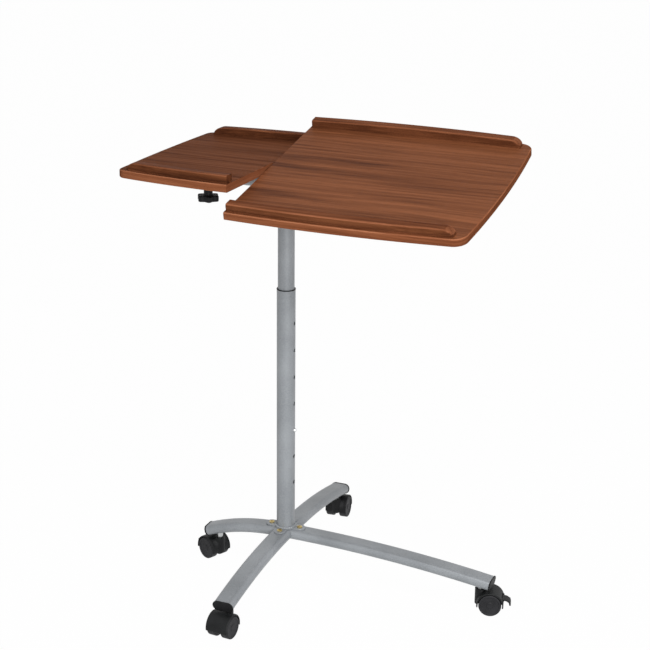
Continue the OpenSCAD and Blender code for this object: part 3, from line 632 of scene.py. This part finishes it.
def dress(node, slot, width=0.0, segments=2, least_length=0.0):
    """A finished copy of a node, with its longer outward edges rounded."""
    bm = copied(node)
    if width:
        soften(bm, width, segments, lambda edge: edge.calc_length() > least_length)
    put(bm, "fine_" + node, body_of[node], slot, [node])


# Tubes, legs, plates and small hardware

for node in ("lower_tube", "upper_tube", "cross_tube",
             "leg_left", "leg_right", "leg_front", "leg_rear"):
    put(copied(node, flat=False), "fine_" + node, body_of[node], "silver_paint", [node])
for node in ("near_bracket", "tilt_bracket", "shelf_bracket"):
    dress(node, "silver_paint", width=0.5 * MM, segments=2, least_length=4 * MM)
dress("hub_plate", "silver_paint", width=0.7 * MM, segments=3, least_length=0.8 * MM)
for node in ("column_bush", "guide_plug", "cross_tube_caps"):
    dress(node, "black_plastic")
for leg in LEGS:
    dress(leg + "_axle", "bright_steel")
for node in ("main_ledge_screws", "main_bracket_screws", "shelf_ledge_screws",
             "shelf_bracket_screws", "tilt_knob_stud", "shelf_knob_stud", "hub_nuts",
             "caster_stems"):
    dress(node, "bright_steel")
dress("hub_screws", "yellow_zinc")
spring = frame["nodes"]["button_spring"].data
spring.materials.clear()
spring.materials.append(FINISHES["bright_steel"])


def leg_cap(leg):
    """An end cap whose rim stands a little proud of the leg's tube."""
    node = "leg_cap_" + leg
    bm = copied(node)
    outwards = middle(node) - Vector((AXIS_X, 0, middle(node).z))
    end = max(bm.faces, key=lambda face: face.normal.dot(outwards) * face.calc_area())
    ahead, tip = end.normal.copy(), end.verts[0].co.copy()
    rim = [face for face in bm.faces if abs(face.normal.dot(ahead)) < CAP_SIDE
           and all((tip - vert.co).dot(ahead) < CAP_T + CAP_SLACK for vert in face.verts)]
    bmesh.ops.inset_region(bm, faces=rim, thickness=CAP_RIM_SLOPE, depth=CAP_RIM_PROUD,
                           use_even_offset=True, use_boundary=True)
    put(bm, "fine_" + node, "base", "black_plastic", [node])


def weld_bead():
    """A rippled bead of weld round the column's foot."""
    ring_r = LOWER_R + BEAD_OUT
    upright = Matrix.Translation((ring_r, 0, 0)) @ Matrix.Rotation(QUARTER_TURN, 4, "X")
    bm = bmesh.new()
    bmesh.ops.create_circle(bm, segments=BEAD_SIDES, radius=BEAD_R, matrix=upright)
    full_turn(bm, RIPPLES * RIPPLE_STEPS)
    for vert in bm.verts:
        turn = math.atan2(vert.co.y, vert.co.x)
        core = Vector((math.cos(turn), math.sin(turn), 0)) * ring_r
        swell = (1 + RIPPLE_SWELL * math.cos(RIPPLES * turn)
                 + SWAY_SWELL * math.sin(SWAYS * turn))
        vert.co = core + (vert.co - core) * swell
    bmesh.ops.translate(bm, verts=bm.verts, vec=(AXIS_X, 0, HUB_TOP + BEAD_UP))
    put(bm, "column_weld", "base", "silver_paint", [], crease=60)


def snap_button():
    """The sprung button's dome, its stem and its flange, turned along X."""
    low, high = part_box("snap_button")
    flange_r = (high.z - low.z) / 2
    length = high.x - low.x
    bm = turned([(0, 0),
                 (flange_r, 0, BUTTON_FLANGE_ROUND),
                 (flange_r, BUTTON_FLANGE_T),
                 (BUTTON_STEM_R, BUTTON_FLANGE_T),
                 (BUTTON_STEM_R, length, BUTTON_DOME_R),
                 (0, length)], BUTTON_STEPS)
    place = (Matrix.Translation((low.x, 0, (low.z + high.z) / 2))
             @ Matrix.Rotation(QUARTER_TURN, 4, "Y"))
    bmesh.ops.transform(bm, verts=bm.verts, matrix=place)
    put(bm, "polished_button", "button", "polished_steel", ["snap_button"])


for leg in LEGS:
    leg_cap(leg)
weld_bead()
snap_button()


# Panels and their ledges

def swept(bm, vert, centre, angle, steps):
    """Draws an arc clockwise from a vertex, and gives back its last vertex."""
    drawn = bmesh.ops.spin(bm, geom=[vert], cent=(*centre, 0), axis=(0, 0, -1), angle=angle,
                           steps=steps, use_merge=False)
    return drawn["geom_last"][0]


def grade(bm):
    """Gives flat faces the first wood, upright ones the second and roundings the third. The second is painted
    light on the panels and painted shade on the ledges, and the third is a painted highlight.
    """
    bm.normal_update()
    for face in bm.faces:
        rise = abs(face.normal.z)
        face.material_index = 0 if rise > FLAT_RISE else 1 if rise < BAND_RISE else 2


def panel(top):
    """A panel with bowed edges, rounded corners and a softened rim, square at its inner edge."""
    bm = bmesh.new()
    corner = top.corner_centre()
    first = bm.verts.new((0, top.half - top.bow_at(0), 0))
    edge_start = heading(top.edge_centre, first.co.xy)
    edge_end = heading(top.edge_centre, corner)
    side_start = heading(top.side_centre, corner)
    last = swept(bm, first, top.edge_centre, edge_start - edge_end, LONG_EDGE_STEPS)
    last = swept(bm, last, corner, edge_end - side_start, CORNER_STEPS)
    swept(bm, last, top.side_centre, side_start, SIDE_STEPS)
    outline = bm.verts[:] + bm.edges[:]
    bmesh.ops.mirror(bm, geom=outline, matrix=Matrix(), merge_dist=MERGE, axis="Y")
    bmesh.ops.contextual_create(bm, geom=bm.verts[:] + bm.edges[:])
    raised(bm, (0, 0, PANEL_T))
    soften(bm, RIM_R, ROUND_STEPS,
           lambda edge: is_level(edge) and max(vert.co.x for vert in edge.verts) > MERGE)
    grade(bm)
    bmesh.ops.transform(bm, verts=bm.verts, matrix=top.place)
    put(bm, "fine_" + top.node, top.body, "wood_panel", [top.node], PANEL_WOODS[top.node],
        crease=30)


def ledge(top, node, side):
    """A moulded ledge that follows its panel's bowed edge and falls away at its outer end."""
    bm = bmesh.new()
    start, end = top.ledge_start, top.ledge_end
    tip = bm.verts.new((end - LEDGE_FALL + LEDGE_H, 0, 0))
    bmesh.ops.spin(bm, geom=[tip], cent=(end - LEDGE_FALL, 0, 0), axis=(0, -1, 0),
                   angle=QUARTER_TURN, steps=LEDGE_FALL_STEPS)
    bmesh.ops.scale(bm, verts=bm.verts, vec=(LEDGE_FALL / LEDGE_H, 1, 1),
                    space=Matrix.Translation((LEDGE_FALL - end, 0, 0)))
    bm.verts.new((start, 0, LEDGE_H))
    bm.verts.new((start, 0, 0))
    bm.faces.new(bm.verts)
    raised(bm, (0, -LEDGE_W, 0))
    for across, width in ((0, LEDGE_OUTER_R), (-LEDGE_W, LEDGE_INNER_R)):
        edges = [edge for edge in bm.edges
                 if all(abs(vert.co.y - across) < MERGE for vert in edge.verts)
                 and max(vert.co.z for vert in edge.verts) > MERGE
                 and max(vert.co.x for vert in edge.verts) > start + MERGE]
        rounded(bm, edges, width, LEDGE_R_STEPS)
    cuts = [((start + (end - start) * i / LEDGE_STATIONS, 0, 0), (1, 0, 0))
            for i in range(1, LEDGE_STATIONS)]
    cuts += [((0, 0, LEDGE_COVE_H * i / LEDGE_COVE_STEPS), (0, 0, 1))
             for i in range(1, LEDGE_COVE_STEPS + 1)]
    for point, normal in cuts:
        bmesh.ops.bisect_plane(bm, geom=bm.verts[:] + bm.edges[:] + bm.faces[:], dist=MERGE / 2,
                               plane_co=point, plane_no=normal)
    for vert in bm.verts:
        if vert.co.y > -LEDGE_COVE_REACH and vert.co.z < LEDGE_COVE_H:
            vert.co.y -= LEDGE_COVE * (1 - vert.co.z / LEDGE_COVE_H) ** 2
        vert.co.y = side * (vert.co.y + top.half - LEDGE_INSET - top.bow_at(vert.co.x))
        vert.co.z += PANEL_T - LEDGE_SEAT
    bmesh.ops.recalc_face_normals(bm, faces=bm.faces)
    grade(bm)
    bmesh.ops.transform(bm, verts=bm.verts, matrix=top.place)
    put(bm, "fine_" + node, top.body, "wood_ledge", [node], LEDGE_WOODS[top.node], crease=40)


for top, kind in ((MAIN, "main"), (SHELF, "shelf")):
    panel(top)
    ledge(top, kind + "_front_ledge", side=-1)
    ledge(top, kind + "_rear_ledge", side=1)


# Clamping knobs

def knob(node, top):
    """A star knob: a head with grips, a dished face below and a flared neck."""
    bm = bmesh.new()
    bmesh.ops.create_circle(bm, cap_ends=True, segments=KNOB_STEPS, radius=1)
    for vert in bm.verts:
        turn = math.atan2(vert.co.y, vert.co.x)
        vert.co *= KNOB_R + KNOB_GRIP * math.cos(KNOB_GRIPS * turn)
    raised(bm, (0, 0, KNOB_H))
    soften(bm, KNOB_ROUND, ROUND_STEPS, is_level)
    face = min(bm.faces, key=lambda face: face.calc_center_median().z)
    bmesh.ops.inset_region(bm, faces=[face], thickness=KNOB_RIM)
    bmesh.ops.inset_region(bm, faces=[face], thickness=KNOB_DISH)
    bmesh.ops.translate(bm, verts=face.verts[:], vec=(0, 0, KNOB_DISH))
    neck = turned([(KNOB_HOLLOW_R, KNOB_H - KNOB_SUNK),
                   (KNOB_NECK_R + KNOB_FLARE, KNOB_H - KNOB_SUNK),
                   (KNOB_NECK_R, KNOB_H + KNOB_FLARE_H),
                   (KNOB_NECK_R, KNOB_H + KNOB_NECK_H, KNOB_NECK_ROUND),
                   (KNOB_HOLLOW_R, KNOB_H + KNOB_NECK_H)], KNOB_NECK_STEPS)
    neck_mesh = new_mesh(neck, "neck")
    bm.from_mesh(neck_mesh)
    bpy.data.meshes.remove(neck_mesh)
    place = (Matrix.Translation((middle(node + "_stud").x, 0, CROSS_Z))
             @ Matrix.Rotation(top.tilt, 4, "X")
             @ Matrix.Translation((0, 0, -KNOB_UNDER_CROSS)))
    bmesh.ops.transform(bm, verts=bm.verts, matrix=place)
    put(bm, "fine_" + node, body_of[node], "black_plastic", [node])


knob("tilt_knob", MAIN)
knob("shelf_knob", SHELF)


# Casters

def caster_place(leg):
    """The turn and place of a caster that trails along X from its stem, its trail and radius."""
    stem = Vector(joints[leg + "_swivel"]["pos_m"])
    axle = Vector(joints[leg + "_wheel_a_roll"]["pos_m"])
    trail = math.hypot(axle.x - stem.x, axle.y - stem.y)
    turn = Matrix.Rotation(heading(stem, axle), 4, "Z")
    return Matrix.Translation((stem.x, stem.y, 0)) @ turn, trail, axle.z


def hood(leg):
    """A hood with its two rims rounded over the wheels."""
    node = leg + "_hood"
    place, trail, wheel_r = caster_place(leg)
    bm = copied(node)
    bmesh.ops.transform(bm, verts=bm.verts, matrix=place.inverted())
    half = max(vert.co.y for vert in bm.verts)
    least_r = wheel_r + HOOD_T - HOOD_RIM_SLACK

    def on_rim(edge):
        return all(abs(abs(vert.co.y) - half) < HOOD_SIDE_SLACK
                   and math.hypot(vert.co.x - trail, vert.co.z - wheel_r) > least_r
                   for vert in edge.verts)

    soften(bm, HOOD_ROUND, ROUND_STEPS, on_rim)
    bmesh.ops.transform(bm, verts=bm.verts, matrix=place)
    put(bm, "fine_" + node, body_of[node], "caster_plastic", [node])


def wheel(leg, letter, side):
    """A tread with rounded shoulders, a rim step, a dished disc and an axle cap."""
    node = f"{leg}_wheel_{letter}"
    place, trail, wheel_r = caster_place(leg)
    disc_r = wheel_r - TREAD_T
    bm = turned([(BORE_R, WHEEL_INNER),
                 (BOSS_R, WHEEL_INNER),
                 (BOSS_R, WHEEL_OUTER - WEB_IN),
                 (disc_r, WHEEL_OUTER - WEB_IN),
                 (disc_r, WHEEL_INNER),
                 (wheel_r, WHEEL_INNER, INNER_SHOULDER),
                 (wheel_r, WHEEL_OUTER, OUTER_SHOULDER),
                 (disc_r + RIM_STEP, WHEEL_OUTER, FINE_ROUND),
                 (disc_r, WHEEL_OUTER - RIM_STEP),
                 (AXLE_CAP_FOOT_R, WHEEL_OUTER - DISH_IN),
                 (AXLE_CAP_R, WHEEL_OUTER - AXLE_CAP_IN, FINE_ROUND),
                 (0, WHEEL_OUTER - AXLE_CAP_IN),
                 (0, WHEEL_OUTER - BORE_END_IN),
                 (BORE_R, WHEEL_OUTER - BORE_END_IN)], WHEEL_STEPS)
    upright = Matrix.Rotation(-QUARTER_TURN * side, 4, "X")
    on_axle = place @ Matrix.Translation((trail, 0, wheel_r)) @ upright
    bmesh.ops.transform(bm, verts=bm.verts, matrix=on_axle)
    put(bm, "fine_" + node, body_of[node], "wheel_plastic", [node], crease=28)


for leg in LEGS:
    hood(leg)
    wheel(leg, "a", side=1)
    wheel(leg, "b", side=-1)
for leg in BRAKED:
    dress(leg + "_brake_lever", "caster_plastic", width=0.7 * MM, segments=3,
          least_length=3 * MM)


# Floor, light and camera

def studio():
    """A pale floor that keeps the cart's shadow, and a white surround."""
    bm = bmesh.new()
    bmesh.ops.create_grid(bm, x_segments=1, y_segments=1, size=FLOOR_SIZE)
    mesh = new_mesh(bm, "floor")
    floor = linked("floor", mesh)
    finish = new_finish("pale_floor")
    seen = finish.seen()
    paint = finish.node("BsdfDiffuse", {}, {"Color": FLOOR_GREY})
    glow = finish.node("Emission", {}, {"Color": WHITE, "Strength": 1.0})
    shader = finish.node("MixShader", {}, {0: seen * FLOOR_GLOW, 1: paint, 2: glow})
    finish.node("OutputMaterial", {}, {"Surface": shader})
    mesh.materials.append(finish.owner)

    world = bpy.data.worlds.new("studio")
    bpy.context.scene.world = world
    sky = Finish(world)
    seen = sky.seen()
    soft = sky.node("Background", {}, {"Color": WHITE, "Strength": SKY_LIGHT})
    white = sky.node("Background", {}, {"Color": WHITE, "Strength": 1.0})
    shader = sky.node("MixShader", {}, {0: seen, 1: soft, 2: white})
    sky.node("OutputWorld", {}, {"Surface": shader})


def lamp(name, place, power):
    """A square soft lamp that faces the middle of the cart."""
    light = bpy.data.lights.new(name, "AREA")
    light.size = LAMP_SIZE
    light.energy = power
    turn = (LAMP_AIM - Vector(place)).to_track_quat("-Z", "Y").to_matrix().to_4x4()
    linked(name, light).matrix_world = Matrix.Translation(place) @ turn


def camera():
    """The photograph's view."""
    ahead = Vector((-math.sin(CAMERA_YAW) * math.cos(CAMERA_PITCH),
                    math.cos(CAMERA_YAW) * math.cos(CAMERA_PITCH), -math.sin(CAMERA_PITCH)))
    level = Vector((math.cos(CAMERA_YAW), math.sin(CAMERA_YAW), 0))
    turn = Matrix((level, level.cross(ahead), -ahead)).transposed().to_4x4()
    place = Vector(CAMERA_FROM_AXIS) + Vector((AXIS_X, 0, 0))
    data = bpy.data.cameras.new("camera")
    data.lens = CAMERA_LENS
    data.sensor_width = CAMERA_SENSOR
    data.clip_end = CAMERA_REACH
    made = linked("camera", data)
    made.matrix_world = Matrix.Translation(place) @ turn @ Matrix.Rotation(CAMERA_ROLL, 4, "Z")
    bpy.context.scene.camera = made


studio()
lamp("key", KEY_PLACE, KEY_POWER)
lamp("front", FRONT_PLACE, FRONT_POWER)
camera()
bpy.context.scene.view_settings.view_transform = "Standard"
